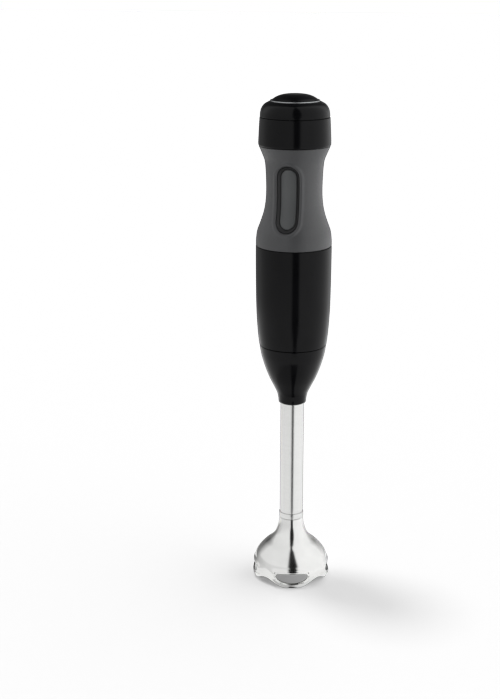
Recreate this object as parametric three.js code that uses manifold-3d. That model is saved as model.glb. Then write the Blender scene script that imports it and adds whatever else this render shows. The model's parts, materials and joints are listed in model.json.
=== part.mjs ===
// Immersion blender, upright on its bell guard.
// Units are millimetres, +Z is up, and the front (the button side) faces -Y.
// The origin is at the centre of the base, on the blender's own axis.

import * as THREE from 'three';
import { mergeVertices } from 'three/addons/utils/BufferGeometryUtils.js';
import Module from 'manifold-3d';

const wasm = await Module();
wasm.setup();

// ---------------------------------------------------------------- driving dimensions

const gap = 0.3; // air kept between neighbours
const shellSides = 32; // facets round each large shell

const cap = { bottom: 387.7, topRadius: 19.4, top: 399.6, seatZ: 396.8, seatRadius: 16.4, crown: 405 };
const disc = { radius: 18.2, edge: 400.4, fullness: 4 };
const band = { bottom: 365.7, top: 387.3, spigotRadius: 24.4, spigotBore: 23.2, spigotTop: 390.8 };
const bridge = { halfWidth: 10, near: 15, far: 26.2, bottom: 369.3, top: 371.9 };
const gland = { z: 378.2, outer: 4.1, bore: 3.3, flange: 5.2, near: 21.5, far: 28.45, end: 30.65 };
const clamp = { screwX: 6.5, y: 18, halfDepth: 3, halfWidth: 9, bottom: 381.8, top: 384.2, holeRadius: 1.6 };

const grip = { bottom: 286.4, top: 365.2, sleeveWall: 1.8, coreWall: 1.8 };
const recess = { centreZ: 325.9, width: 19.9, height: 52.9 };
const bezel = { rimDepth: 0.5, footDepth: 3.5, backDepth: 5.4, wallWidth: 3.4 };
const button = { faceDepth: 3.2, thickness: 2.6 };
const carrier = { halfWidth: 10, front: -12.7, back: -10.9, bottom: 310.5, top: 348.5 };
const lever = { length: 12, thickness: 0.5, width: 4, restAngle: 0.2, pivotY: -5.8, pivotRise: 2 };
const lowSwitchZ = 309.5;
const highSwitchZ = 331.5;
const springZ = 329.5;
const board = { front: 3.2, thickness: 1.6, halfWidth: 16.5, bottom: 306, top: 352 };
const capacitor = { halfWidth: 8, back: 12, bottom: 313, top: 331 };

const housing = { bottom: 204.7, top: 286, wall: 2.2 };
const shaftRadius = 3;
const shaftBore = shaftRadius + gap;
const motorShaft = { bottom: 189, top: 295 };
const stator = { bottom: 239.5, top: 265.5, outer: 26.5, bore: 14.1 };
const coil = { inner: 14, outer: 17.9, side: 13.3, reach: 16.7, bottom: 234.5, top: 270.5, end: 4.3 };
const armature = { bottom: 241.5, top: 263.5, radius: 13.6, slots: 12, slotFloor: 9 };
const winding = { bottom: 236, top: 269, inner: 5, outer: 12.6 };
const commutator = { bottom: 271.5, top: 283.5, radius: 9 };
const bracket = {
  lowerZ: 217.5, upperZ: 287.5, lowerRadius: 25.8, upperRadius: 25.6, thickness: 3, hubRise: 2.7,
};
const bearing = { outer: 8, height: 5 };
const motorScrew = { circle: 22.8, shank: 1.5, head: 2.6, holeRadius: 1.8 };
const fan = { bottom: 225.5, top: 232.5, radius: 20.8, blades: 9 };
const brush = { halfWidth: 2.6, bottom: 275, top: 280.2, front: 9.3, back: 17, channelEnd: 22.7 };

const spigot = { bottom: 191, flange: 209.5, flangeRadius: 25, top: 212.5, bore: 15.4, outer: 18 };
const damperTop = 215.1;
const lug = { count: 3, outer: 20.4, bottom: 192.5, top: 195.5, angle: THREE.MathUtils.degToRad(28) };
const armTwist = THREE.MathUtils.degToRad(35);
const bayonet = { bottom: 191.5, top: 202.1, inner: 20.9, outer: 22.3, ledgeInner: 18.7 };
const coupler = { postBottom: 179.5, bottom: 187.5, seat: 188.7, top: 193.5, radius: 8.5 };
const tangHub = { bottom: 172.1, top: 177.5, radius: 6, tangTop: 184.5 };

const collar = { bottom: 154.3, top: 204.2, pocketZ: 169.5, pocketRadius: 12.6 };
const tube = { bottom: 57.5, top: 171.5, outer: 9.45, wall: 0.8 };
const upperBush = { bottom: 157.5, top: 168.5 };
const lowerBush = { bottom: 47, top: 60 };
const sealTop = 46.7;
const sleeve = {
  bottom: 52.6, top: 57.2, outer: 9.85, bore: 6.5, spigotRadius: 8.1, spigotBottom: 44, spigotTop: 62,
};
const lobeTurn = THREE.MathUtils.degToRad(16);
const bell = { top: 52.3, wall: 1.2, rimWidth: 2.2, rimHeight: 2.5, lobeBulge: 1.8, archHeight: 5.5 };
const bellWindow = { width: 26.9, bottom: 4.4, top: 12.9 };
const blade = { length: 43, width: 11, thickness: 1.2, z: 10.3 };
const shaftTip = { bottom: 7.2, shoulder: 17.5, radius: 2 };
const shaftTop = 175.5;

// outlines, as [radius, height] from the bottom up
const capCurve = [[27.05, cap.bottom], [27, 389.9], [26.25, 393.6], [23.9, 397.1], [cap.topRadius, cap.top]];
const bandCurve = [[27.9, band.bottom], [28.3, 367.9], [27.9, 377.3], [27.35, band.top]];
const gripCurve = [
  [30, grip.bottom], [29.8, 292.2], [28.9, 298.3], [26.6, 304.7], [24, 312.7], [22.5, 320.8],
  [21.95, 330.6], [22.3, 344.3], [23.2, 353.5], [25, 358.6], [27.85, grip.top],
];
const housingCurve = [
  [27.1, housing.bottom], [28.4, 216], [29.5, 234], [29.9, 255], [30.05, 275], [30.05, housing.top],
];
const collarCurve = [
  [9.75, collar.bottom], [11, 155.4], [11.35, 158.5], [12.4, 163.2], [14.9, 168.6], [18.3, 175.3],
  [21.2, 182.2], [23.55, 189.1], [25.5, 196.1], [26.9, collar.top],
];
const bellCurve = [
  [30.5, 0], [30.6, 6], [30.4, 13.5], [29.3, 19], [26.6, 23.6], [22, 28.7], [16.7, 33.2],
  [13, 38], [10.5, 45.4], [9.6, bell.top],
];

// ---------------------------------------------------------------- solids from three.js geometry

function tidy(geometry) {
  const bare = geometry.index ? geometry : geometry.clone();
  bare.deleteAttribute('normal');
  bare.deleteAttribute('uv');
  return mergeVertices(bare, 1e-4);
}

function toSolid(geometry) {
  const bare = tidy(geometry.clone());
  const vertProperties = new Float32Array(bare.attributes.position.array);
  const triVerts = new Uint32Array(bare.index.array);
  return new wasm.Manifold(new wasm.Mesh({ numProp: 3, vertProperties, triVerts }));
}

function toGeometry(solid) {
  const mesh = solid.getMesh();
  const geometry = new THREE.BufferGeometry();
  geometry.setAttribute('position', new THREE.BufferAttribute(new Float32Array(mesh.vertProperties), 3));
  geometry.setIndex(new THREE.BufferAttribute(new Uint32Array(mesh.triVerts), 1));
  return geometry;
}

function join(first, ...others) {
  return toGeometry(others.reduce((sum, other) => sum.add(toSolid(other)), toSolid(first)));
}

function cut(first, ...others) {
  return toGeometry(others.reduce((rest, other) => rest.subtract(toSolid(other)), toSolid(first)));
}

function common(first, second) {
  return toGeometry(toSolid(first).intersect(toSolid(second)));
}

function smooth(points, steps) {
  const curve = new THREE.SplineCurve(points.map(([r, z]) => new THREE.Vector2(r, z)));
  return curve.getPoints(steps).map((p) => [p.x, p.y]);
}

function inset(points, depth) {
  return points.map(([r, z]) => [r - depth, z]);
}

// A closed outline in [radius, height], turned about the Z axis.
function revolve(outline, segments) {
  const points = outline.map(([r, z]) => new THREE.Vector2(r, z));
  if (THREE.ShapeUtils.area(points) < 0) points.reverse();
  const touchesAxis = points.some((p) => p.x === 0);
  if (touchesAxis) {
    while (points[0].x !== 0 || points[points.length - 1].x !== 0) points.push(points.shift());
  } else {
    points.push(points[0].clone());
  }
  return new THREE.LatheGeometry(points, segments).rotateX(Math.PI / 2);
}

function ring(inner, outer, bottom, top, segments) {
  return revolve([[inner, bottom], [outer, bottom], [outer, top], [inner, top]], segments);
}

function rod(radius, bottom, top, segments) {
  return revolve([[0, bottom], [radius, bottom], [radius, top], [0, top]], segments);
}

function block(x0, x1, y0, y1, z0, z1) {
  const geometry = new THREE.BoxGeometry(x1 - x0, y1 - y0, z1 - z0);
  return geometry.translate((x0 + x1) / 2, (y0 + y1) / 2, (z0 + z1) / 2);
}

// A flat shape drawn in XY, raised from bottom to top.
function plate(shape, bottom, top, curveSegments = 8) {
  const settings = { depth: top - bottom, bevelEnabled: false, curveSegments };
  return new THREE.ExtrudeGeometry(shape, settings).translate(0, 0, bottom);
}

// A flat shape drawn in XZ, run along Y from near to far.
function prismAlongY(shape, near, far, curveSegments = 8) {
  return plate(shape, 0, far - near, curveSegments).rotateX(Math.PI / 2).translate(0, far, 0);
}

function alongY(geometry) {
  return geometry.rotateX(-Math.PI / 2);
}

function sector(inner, outer, from, to) {
  const shape = new THREE.Shape();
  shape.absarc(0, 0, outer, from, to, false);
  shape.absarc(0, 0, inner, to, from, true);
  shape.closePath();
  return shape;
}

// A tall slot with round ends, standing in XZ.
function obround(width, height, centreZ) {
  const radius = width / 2;
  const straight = height / 2 - radius;
  const shape = new THREE.Shape();
  shape.absarc(0, centreZ + straight, radius, 0, Math.PI, false);
  shape.absarc(0, centreZ - straight, radius, Math.PI, 2 * Math.PI, false);
  shape.closePath();
  return shape;
}

// ---------------------------------------------------------------- materials

function finish(color, roughness, metalness) {
  return new THREE.MeshStandardMaterial({ color, roughness, metalness });
}

const looks = {
  glossBlack: finish(0x101112, 0.15, 0),
  matteBlack: finish(0x1b1c1d, 0.6, 0),
  softGrey: finish(0x4b4d50, 0.75, 0),
  steel: finish(0xd2d2d0, 0.28, 1),
  silver: finish(0xa8aaac, 0.3, 1),
  laminations: finish(0x7b7d80, 0.5, 1),
  copper: finish(0xb4653a, 0.35, 1),
  brass: finish(0xc49a4a, 0.35, 1),
  carbon: finish(0x26262a, 0.8, 0),
  rubber: finish(0x202020, 0.85, 0),
  boardGreen: finish(0x1f5a3a, 0.6, 0),
  nylon: finish(0xe4e2da, 0.5, 0),
};

const blender = new THREE.Group();

function add(name, geometry, material, parent = blender) {
  const mesh = new THREE.Mesh(tidy(geometry), material);
  mesh.name = name;
  parent.add(mesh);
  return mesh;
}

// ---------------------------------------------------------------- head: cap, band and cord gland

function addHead() {
  const capInner = [
    [cap.seatRadius, cap.seatZ], [cap.seatRadius, 395.2], [20, 395.2], [23, 393.2], [24.9, 390.8],
    [25.3, cap.bottom],
  ];
  const capOutline = [...smooth(capCurve, 7), [cap.topRadius, cap.seatZ], ...capInner];
  add('top_cap', revolve(capOutline, shellSides), looks.glossBlack);

  const seat = cap.seatZ + gap;
  const rise = cap.crown - disc.edge;
  const domeSteps = [1, 0.95, 0.85, 0.7, 0.5, 0.25, 0];
  const dome = domeSteps.map((u) => [disc.radius * u, disc.edge + rise * (1 - u ** disc.fullness)]);
  add('cap_disc', revolve([[0, seat], [disc.radius, seat], ...dome], shellSides), looks.glossBlack);
  const ringBody = ring(disc.radius + gap, cap.topRadius - gap, seat, cap.top - 0.1, shellSides);
  add('trim_ring', ringBody, looks.silver);

  const stepZ = band.top - 3.4;
  const bandInner = [
    [24.6, band.top], [band.spigotRadius, band.spigotTop], [band.spigotBore, band.spigotTop],
    [band.spigotBore, stepZ], [25.7, stepZ - 2], [25.9, band.bottom],
  ];
  const { near, far } = bridge;
  const bridgeBlock = block(-bridge.halfWidth, bridge.halfWidth, near, far, bridge.bottom, bridge.top);
  const screwHoles = [-1, 1].map((side) =>
    rod(clamp.holeRadius, bridge.bottom - 2, clamp.top + 4, 8).translate(side * clamp.screwX, clamp.y, 0));
  const glandHole = alongY(rod(gland.outer + gap, 15, 35, 16)).translate(0, 0, gland.z);
  const bandShell = revolve([...smooth(bandCurve, 5), ...bandInner], shellSides);
  add('cap_band', cut(join(bandShell, bridgeBlock), glandHole, ...screwHoles), looks.glossBlack);

  const glandOutline = [
    [gland.bore, gland.near], [gland.flange, gland.near], [gland.flange, gland.near + 1.6],
    [gland.outer, gland.near + 1.6], [gland.outer, gland.far], [gland.flange, gland.far],
    [gland.flange - 0.6, gland.end], [gland.bore, gland.end],
  ];
  add('cord_gland', alongY(revolve(glandOutline, 16)).translate(0, 0, gland.z), looks.rubber);

  const { halfWidth, halfDepth, bottom, top } = clamp;
  const clampBar = block(-halfWidth, halfWidth, clamp.y - halfDepth, clamp.y + halfDepth, bottom, top);
  add('cord_clamp', cut(clampBar, ...screwHoles), looks.matteBlack);
  [['left', -1], ['right', 1]].forEach(([side, sign]) => {
    const tip = bridge.bottom - 1.5;
    const headZ = clamp.top + gap;
    const screw = [[0, tip], [1.3, tip], [1.3, headZ], [2.6, headZ], [2.6, headZ + 1.5], [0, headZ + 1.5]];
    add(`clamp_screw_${side}`, revolve(screw, 12).translate(sign * clamp.screwX, clamp.y, 0), looks.steel);
  });
}

// ---------------------------------------------------------------- grip, button and switches

const gripOutline = smooth(gripCurve, 12);

function waist(offset) {
  const outline = gripOutline.map(([r, z]) => [r + offset, z]);
  return revolve([[0, grip.bottom], ...outline, [0, grip.top]], shellSides);
}

function waistRadius(z) {
  const above = gripOutline.findIndex(([, height]) => height > z);
  const [[r0, z0], [r1, z1]] = gripOutline.slice(above - 1, above + 1);
  return r0 + ((r1 - r0) * (z - z0)) / (z1 - z0);
}

// The recess for the button, made smaller all round by the margin and run straight back along Y.
function recessPrism(margin, near, far) {
  const outline = obround(recess.width - 2 * margin, recess.height - 2 * margin, recess.centreZ);
  return prismAlongY(outline, near, far, 6);
}

function addGrip() {
  const sleeveInner = inset(gripOutline, grip.sleeveWall).reverse();
  const hole = recessPrism(0, -40, 0);
  const sleeveShell = revolve([...gripOutline, ...sleeveInner], shellSides);
  add('grip_sleeve', cut(sleeveShell, hole), looks.softGrey);

  const coreOuter = inset(gripOutline, grip.sleeveWall + gap);
  const coreInner = inset(smooth(gripCurve, 6), grip.sleeveWall + gap + grip.coreWall).reverse();
  const lowerEnd = grip.bottom - 6.9;
  const upperEnd = grip.top + 3.6;
  const lowerSpigot = [[26, lowerEnd], [27.5, lowerEnd], [27.5, grip.bottom + 0.1]];
  const upperSpigot = [[25.4, grip.top + 0.1], [25.4, upperEnd], [23.8, upperEnd]];
  const coreShell = revolve([...lowerSpigot, ...coreOuter, ...upperSpigot, ...coreInner], shellSides);
  add('grip_core', cut(coreShell, hole), looks.matteBlack);
}

// A ring that follows the recess and the waist. Each corner of its section is
// [margin inside the recess, depth below the waist].
function waistRing(corners) {
  const arcSteps = 10;
  const sideSteps = 8;
  const straight = (recess.height - recess.width) / 2;
  const loopAt = ([margin, depth]) => {
    const radius = recess.width / 2 - margin;
    const loop = [];
    [1, -1].forEach((end) => {
      for (let i = 0; i < arcSteps; i += 1) {
        const angle = (Math.PI * i) / arcSteps;
        loop.push([end * radius * Math.cos(angle), end * (straight + radius * Math.sin(angle))]);
      }
      for (let i = 0; i < sideSteps; i += 1) {
        loop.push([-end * radius, end * straight * (1 - (2 * i) / sideSteps)]);
      }
    });
    return loop.map(([x, up]) => {
      const z = recess.centreZ + up;
      return [x, -Math.sqrt((waistRadius(z) - depth) ** 2 - x ** 2), z];
    });
  };
  const loops = corners.map(loopAt);
  const columns = loops[0].length;
  const index = [];
  loops.forEach((_, row) => {
    const next = (row + 1) % loops.length;
    for (let i = 0; i < columns; i += 1) {
      const [a, b] = [row * columns + i, row * columns + ((i + 1) % columns)];
      const [c, d] = [next * columns + i, next * columns + ((i + 1) % columns)];
      index.push(a, b, c, b, d, c);
    }
  });
  const geometry = new THREE.BufferGeometry();
  geometry.setAttribute('position', new THREE.Float32BufferAttribute(loops.flat(2), 3));
  return geometry.setIndex(index);
}

function addButton() {
  const { rimDepth, footDepth, backDepth, wallWidth } = bezel;
  const section = [[gap, rimDepth], [wallWidth, footDepth], [wallWidth, backDepth], [gap, backDepth]];
  add('button_bezel', waistRing(section), looks.matteBlack);

  const slab = common(waist(-button.faceDepth), recessPrism(wallWidth + gap, -40, -8));
  add('power_button', cut(slab, waist(-button.faceDepth - button.thickness)), looks.softGrey);

  const { halfWidth, front, back, bottom, top } = carrier;
  const carrierPlate = block(-halfWidth, halfWidth, front, back, bottom, top);
  const rib = block(-halfWidth / 2, halfWidth / 2, front - 2.2, front + 0.1, bottom + 1, top - 1);
  const plungers = [lowSwitchZ, highSwitchZ].map((z) => {
    const contact = z + lever.pivotRise + lever.length;
    const end = lever.pivotY - lever.length * Math.sin(lever.restAngle) - lever.thickness / 2 - 2 * gap;
    return block(-1.6, 1.6, back - 0.1, end, contact - 1.4, contact + 1.4);
  });
  add('button_carrier', join(carrierPlate, rib, ...plungers), looks.nylon);

  [['left', -7.5], ['right', 7.5]].forEach(([side, x]) => {
    const coilSpring = alongY(ring(1.8, 2.5, back + gap, board.front - gap, 12));
    add(`button_spring_${side}`, coilSpring.translate(x, 0, springZ), looks.steel);
  });
}

function addElectrics() {
  const boardBack = board.front + board.thickness;
  const boardBody = block(-board.halfWidth, board.halfWidth, board.front, boardBack, board.bottom, board.top);
  add('circuit_board', boardBody, looks.boardGreen);
  [['low', lowSwitchZ], ['high', highSwitchZ]].forEach(([stage, z]) => {
    add(`${stage}_switch`, block(-3.2, 3.2, -5, board.front - gap, z, z + 18), looks.matteBlack);
    const { width, thickness } = lever;
    const leaf = block(-width / 2, width / 2, -thickness / 2, thickness / 2, 0, lever.length + 1);
    const leafMesh = add(`${stage}_switch_lever`, leaf, looks.steel);
    leafMesh.position.set(0, lever.pivotY, z + lever.pivotRise);
    leafMesh.rotation.x = lever.restAngle;
  });
  const { halfWidth, back, bottom, top } = capacitor;
  const canister = block(-halfWidth, halfWidth, boardBack + gap, back, bottom, top);
  add('suppression_capacitor', canister, looks.brass);
}

// ---------------------------------------------------------------- motor

function addHousing() {
  const outer = smooth(housingCurve, 7);
  const inner = inset(outer, housing.wall).reverse();
  add('motor_housing', revolve([...outer, ...inner], shellSides), looks.glossBlack);
}

function boltHoles(bottom, top) {
  const { circle, holeRadius } = motorScrew;
  return [-1, 1].map((side) => rod(holeRadius, bottom, top, 10).translate(side * circle, 0, 0));
}

// A round end plate with a bearing hub on top, bolt holes and four air holes.
function endPlate(radius, bottom) {
  const seatRadius = bearing.outer + gap;
  const above = bottom + bracket.thickness + bracket.hubRise + 1;
  const below = bottom - 1;
  const disc = rod(radius, bottom, bottom + bracket.thickness, shellSides);
  const hub = rod(seatRadius + 2.2, bottom + 1, bottom + bracket.thickness + bracket.hubRise, 20);
  const seat = rod(seatRadius, below, above, 20);
  const airHoles = [45, 135, 225, 315].map((degrees) => {
    const angle = THREE.MathUtils.degToRad(degrees);
    return rod(4, below, above, 10).translate(17 * Math.cos(angle), 17 * Math.sin(angle), 0);
  });
  return cut(join(disc, hub), seat, ...boltHoles(below, above), ...airHoles);
}

function addBrackets() {
  const { lowerZ, upperZ, lowerRadius, upperRadius } = bracket;
  const lowerSeat = lowerZ + 0.2;
  const upperSeat = upperZ + gap;
  add('lower_bracket', endPlate(lowerRadius, lowerZ), looks.matteBlack);
  add('upper_bracket', endPlate(upperRadius, upperZ), looks.matteBlack);
  const { outer, height } = bearing;
  add('lower_bearing', ring(shaftBore, outer, lowerSeat, lowerSeat + height, 20), looks.steel);
  add('upper_bearing', ring(shaftBore, outer, upperSeat, upperSeat + height, 20), looks.steel);

  const headTop = lowerZ - gap;
  const tip = upperZ + bracket.thickness + 1.5;
  const { head, shank, circle } = motorScrew;
  const headBottom = headTop - 1.5;
  const screw = [
    [0, headBottom], [head, headBottom], [head, headTop], [shank, headTop], [shank, tip], [0, tip],
  ];
  [['left', -1], ['right', 1]].forEach(([side, sign]) => {
    add(`motor_screw_${side}`, revolve(screw, 12).translate(sign * circle, 0, 0), looks.steel);
  });
}

function addField() {
  const stack = ring(stator.bore, stator.outer, stator.bottom, stator.top, shellSides);
  const below = stator.bottom - 1;
  const above = stator.top + 1;
  const slots = [[1, 1], [1, -1], [-1, 1], [-1, -1]].map(([sx, sy]) => {
    const x = sx * (coil.inner + coil.outer) / 2;
    const y = sy * (coil.side + coil.reach) / 2;
    const width = coil.outer - coil.inner + 2 * gap;
    const depth = coil.reach - coil.side + 2 * gap;
    return block(x - width / 2, x + width / 2, y - depth / 2, y + depth / 2, below, above);
  });
  add('stator_core', cut(stack, ...boltHoles(below, above), ...slots), looks.laminations);
  [['left', -1], ['right', 1]].forEach(([side, sign]) => {
    const inner = Math.min(sign * coil.inner, sign * coil.outer);
    const outer = Math.max(sign * coil.inner, sign * coil.outer);
    const loop = block(inner, outer, -coil.reach, coil.reach, coil.bottom, coil.top);
    const bottom = coil.bottom + coil.end;
    const poleHole = block(inner - 1, outer + 1, -coil.side, coil.side, bottom, coil.top - coil.end);
    add(`field_coil_${side}`, cut(loop, poleHole), looks.copper);
  });
}

function addArmature() {
  const { bottom, top, radius, slotFloor } = armature;
  const core = ring(shaftBore, radius, bottom, top, 36);
  const bars = [];
  const slots = [];
  for (let i = 0; i < armature.slots; i += 1) {
    const angle = (i * 2 * Math.PI) / armature.slots;
    const slot = block(slotFloor, radius + 1, -1.4, 1.4, bottom - 1, top + 1);
    const bar = block(slotFloor + gap, winding.outer + 0.2, -1.1, 1.1, bottom - 2, top + 2);
    slots.push(slot.rotateZ(angle));
    bars.push(bar.rotateZ(angle));
  }
  add('armature_core', cut(core, ...slots), looks.laminations);
  const lowerEnd = ring(winding.inner, winding.outer, winding.bottom, bottom - gap, 16);
  const upperEnd = ring(winding.inner, winding.outer, top + gap, winding.top, 16);
  add('armature_winding', join(lowerEnd, upperEnd, ...bars), looks.copper);
  const commutatorBody = ring(shaftBore, commutator.radius, commutator.bottom, commutator.top, 24);
  add('commutator', commutatorBody, looks.copper);
  add('motor_shaft', rod(shaftRadius, motorShaft.bottom, motorShaft.top, 16), looks.steel);
}

function addFan() {
  const disc = ring(shaftBore, fan.radius, fan.bottom, fan.bottom + 1.2, 24);
  const hub = ring(shaftBore, 5.5, fan.bottom, fan.top + 1, 16);
  const blades = [];
  for (let i = 0; i < fan.blades; i += 1) {
    const vane = block(7, fan.radius - 0.2, -0.4, 0.4, fan.bottom + 0.6, fan.top);
    blades.push(vane.rotateZ((i * 2 * Math.PI) / fan.blades));
  }
  add('cooling_fan', join(disc, hub, ...blades), looks.matteBlack);
}

function addBrushes() {
  const { halfWidth, bottom, top, front, back, channelEnd } = brush;
  const channelHalf = halfWidth + gap;
  [['front', Math.PI], ['rear', 0]].forEach(([side, turn]) => {
    const group = new THREE.Group();
    group.rotation.z = turn;
    blender.add(group);
    const holderTop = bracket.upperZ - gap;
    const holder = block(-4.4, 4.4, 11, channelEnd + 0.8, bottom - 1.5, holderTop);
    const channel = block(-channelHalf, channelHalf, 10, channelEnd, bottom - gap, top + gap);
    add(`brush_holder_${side}`, cut(holder, channel), looks.nylon, group);
    add(`carbon_brush_${side}`, block(-halfWidth, halfWidth, front, back, bottom, top), looks.carbon, group);
    const brushSpring = alongY(ring(1.4, 2.1, back + gap, channelEnd - gap, 12));
    add(`brush_spring_${side}`, brushSpring.translate(0, 0, (bottom + top) / 2), looks.steel, group);
  });
}

function addCoupler() {
  const { postBottom, bottom, seat, top, radius } = coupler;
  const hubOutline = [
    [0, bottom], [radius, bottom], [radius, top], [shaftBore, top], [shaftBore, seat], [0, seat],
  ];
  const halfPost = THREE.MathUtils.degToRad(15);
  const posts = [Math.PI / 2, -Math.PI / 2].map((middle) =>
    plate(sector(4.2, radius - 0.2, middle - halfPost, middle + halfPost), postBottom, bottom + 0.5, 4));
  add('motor_coupler', join(revolve(hubOutline, 24), ...posts), looks.nylon);
}

// ---------------------------------------------------------------- bayonet between motor body and arm

function addBayonet() {
  const outline = [
    [spigot.bore, spigot.bottom], [spigot.outer, spigot.bottom], [spigot.outer, spigot.flange],
    [spigot.flangeRadius, spigot.flange], [spigot.flangeRadius, spigot.top], [spigot.bore, spigot.top],
  ];
  const lugs = [];
  const catches = [];
  for (let i = 0; i < lug.count; i += 1) {
    const middle = (i * 2 * Math.PI) / lug.count;
    const half = lug.angle / 2;
    const lugShape = sector(spigot.outer - 0.5, lug.outer, middle - half, middle + half);
    lugs.push(plate(lugShape, lug.bottom, lug.top, 3));
    const ledge = sector(bayonet.ledgeInner, bayonet.inner + 0.4, middle - half, middle + half);
    catches.push(plate(ledge, lug.top + 0.4, lug.top + 3.4, 3));
    const play = THREE.MathUtils.degToRad(1.2);
    const ribWidth = THREE.MathUtils.degToRad(6);
    const ribStarts = [middle + half + play, middle - half - armTwist - play - ribWidth];
    ribStarts.forEach((start) => {
      const rib = sector(bayonet.ledgeInner, bayonet.inner + 0.4, start, start + ribWidth);
      catches.push(plate(rib, lug.bottom - 0.5, lug.top + 0.8, 1));
    });
  }
  add('bayonet_spigot', join(revolve(outline, 24), ...lugs), looks.matteBlack);
  const ringBody = ring(bayonet.inner, bayonet.outer, bayonet.bottom, bayonet.top, 24);
  add('bayonet_ring', join(ringBody, ...catches), looks.matteBlack);
  const damper = ring(19.5, spigot.flangeRadius - 0.1, spigot.top + gap, damperTop, 28);
  add('damper_ring', damper, looks.rubber);
}

// ---------------------------------------------------------------- arm: collar, tube and bell guard

function addCollar() {
  const outer = smooth(collarCurve, 12);
  const bore = tube.outer + gap;
  const { pocketZ, pocketRadius } = collar;
  const seatRadius = bayonet.outer + gap;
  const inner = [
    [seatRadius + 0.4, collar.top], [seatRadius, bayonet.bottom - gap], [21.4, bayonet.bottom - gap],
    [19.2, 182.6], [16.3, 175.8], [pocketRadius, pocketZ + 1.6], [pocketRadius, pocketZ], [bore, pocketZ],
  ];
  const outline = [[bore, collar.bottom], ...outer.filter(([r]) => r > bore + 0.05), ...inner];
  add('arm_collar', revolve(outline, shellSides), looks.glossBlack);
  add('tube_clip', ring(bore, pocketRadius - 0.4, pocketZ + gap, pocketZ + 1.5, 24), looks.steel);
}

function addTube() {
  add('arm_tube', ring(tube.outer - tube.wall, tube.outer, tube.bottom, tube.top, 24), looks.steel);
  const { bottom, top, outer, bore, spigotRadius, spigotBottom, spigotTop } = sleeve;
  const edge = 0.5;
  const outline = [
    [bore, spigotBottom], [spigotRadius, spigotBottom], [spigotRadius, bottom], [outer - edge, bottom],
    [outer, bottom + edge], [outer, top - edge], [outer - edge, top], [spigotRadius, top],
    [spigotRadius, spigotTop], [bore, spigotTop],
  ];
  add('joint_sleeve', revolve(outline, 24), looks.steel);
  const bushRadius = tube.outer - tube.wall - gap;
  const upperBushBody = ring(shaftBore, bushRadius, upperBush.bottom, upperBush.top, 20);
  add('upper_shaft_bush', upperBushBody, looks.brass);
  const lowerBushBody = ring(shaftBore, bore - gap, lowerBush.bottom, lowerBush.top, 20);
  add('lower_shaft_bush', lowerBushBody, looks.brass);
  add('shaft_seal', ring(shaftBore, bore - gap, spigotBottom, sealTop, 20), looks.rubber);
}

// Angle from the nearest lobe's middle, from -45 to 45 degrees, as a radian value.
function angleFromLobe(x, y) {
  const quarter = Math.PI / 2;
  const angle = Math.atan2(y, x) - lobeTurn;
  return angle - quarter * Math.round(angle / quarter);
}

function warpBell(geometry) {
  const position = geometry.attributes.position;
  const { smoothstep } = THREE.MathUtils;
  for (let i = 0; i < position.count; i += 1) {
    const x = position.getX(i);
    const y = position.getY(i);
    const z = position.getZ(i);
    const radius = Math.hypot(x, y);
    const away = Math.abs(angleFromLobe(x, y));
    const lobe = 1 - smoothstep(away, 0.35, 0.75);
    const bulge = bell.lobeBulge * lobe * smoothstep(z, 0, 6) * (1 - smoothstep(z, 10, 17));
    const arch = bell.archHeight * smoothstep(away, 0.2, Math.PI / 4) * (1 - smoothstep(z, 0, 18));
    const scale = 1 + bulge / radius;
    position.setXYZ(i, x * scale, y * scale, z + arch);
  }
  return geometry;
}

// The bell's window: slightly arched top edge and a bottom edge like half of an ellipse.
function windowShape() {
  const half = bellWindow.width / 2;
  const { top, bottom } = bellWindow;
  const shape = new THREE.Shape();
  const shoulder = top - 3.2;
  shape.moveTo(0, top);
  shape.quadraticCurveTo(half * 0.6, top, half - 2.6, top - 0.6);
  shape.quadraticCurveTo(half, top - 0.8, half, shoulder);
  shape.bezierCurveTo(half - 0.3, bottom + 2.2, half * 0.55, bottom, 0, bottom);
  shape.bezierCurveTo(-half * 0.55, bottom, 0.3 - half, bottom + 2.2, -half, shoulder);
  shape.quadraticCurveTo(-half, top - 0.8, 2.6 - half, top - 0.6);
  shape.quadraticCurveTo(-half * 0.6, top, 0, top);
  return shape;
}

function addBell() {
  const outer = smooth(bellCurve, 13);
  const inner = inset(smooth(bellCurve, 9), bell.wall).reverse();
  const rimBore = bellCurve[0][0] - bell.rimWidth;
  const innerRim = [[rimBore, bell.rimHeight], [rimBore, 0]];
  const innerAboveRim = inner.filter(([, z]) => z > bell.rimHeight + 1.5);
  const shell = warpBell(revolve([...outer, ...innerAboveRim, ...innerRim], 48));
  const windows = [0, 1, 2, 3].map((i) =>
    prismAlongY(windowShape(), -40, -20, 3).rotateZ(lobeTurn + (i * Math.PI) / 2));
  add('bell_guard', cut(shell, ...windows), looks.steel);
}

// ---------------------------------------------------------------- drive shaft and blade

function bladeBody() {
  const geometry = new THREE.BoxGeometry(blade.length, blade.width, blade.thickness, 20, 2, 1);
  const position = geometry.attributes.position;
  const { smoothstep } = THREE.MathUtils;
  for (let i = 0; i < position.count; i += 1) {
    const x = position.getX(i);
    const y = position.getY(i);
    const z = position.getZ(i);
    const out = Math.abs(x) / (blade.length / 2);
    const side = Math.sign(x);
    const taper = 1 - 0.55 * smoothstep(out, 0.3, 1);
    const sweep = side * 3.2 * smoothstep(out, 0.3, 1);
    const lift = (side > 0 ? 3.4 : -1.6) * smoothstep(out, 0.42, 0.9);
    position.setXYZ(i, x, y * taper + sweep, z + lift);
  }
  return geometry.translate(0, 0, blade.z);
}

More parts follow.
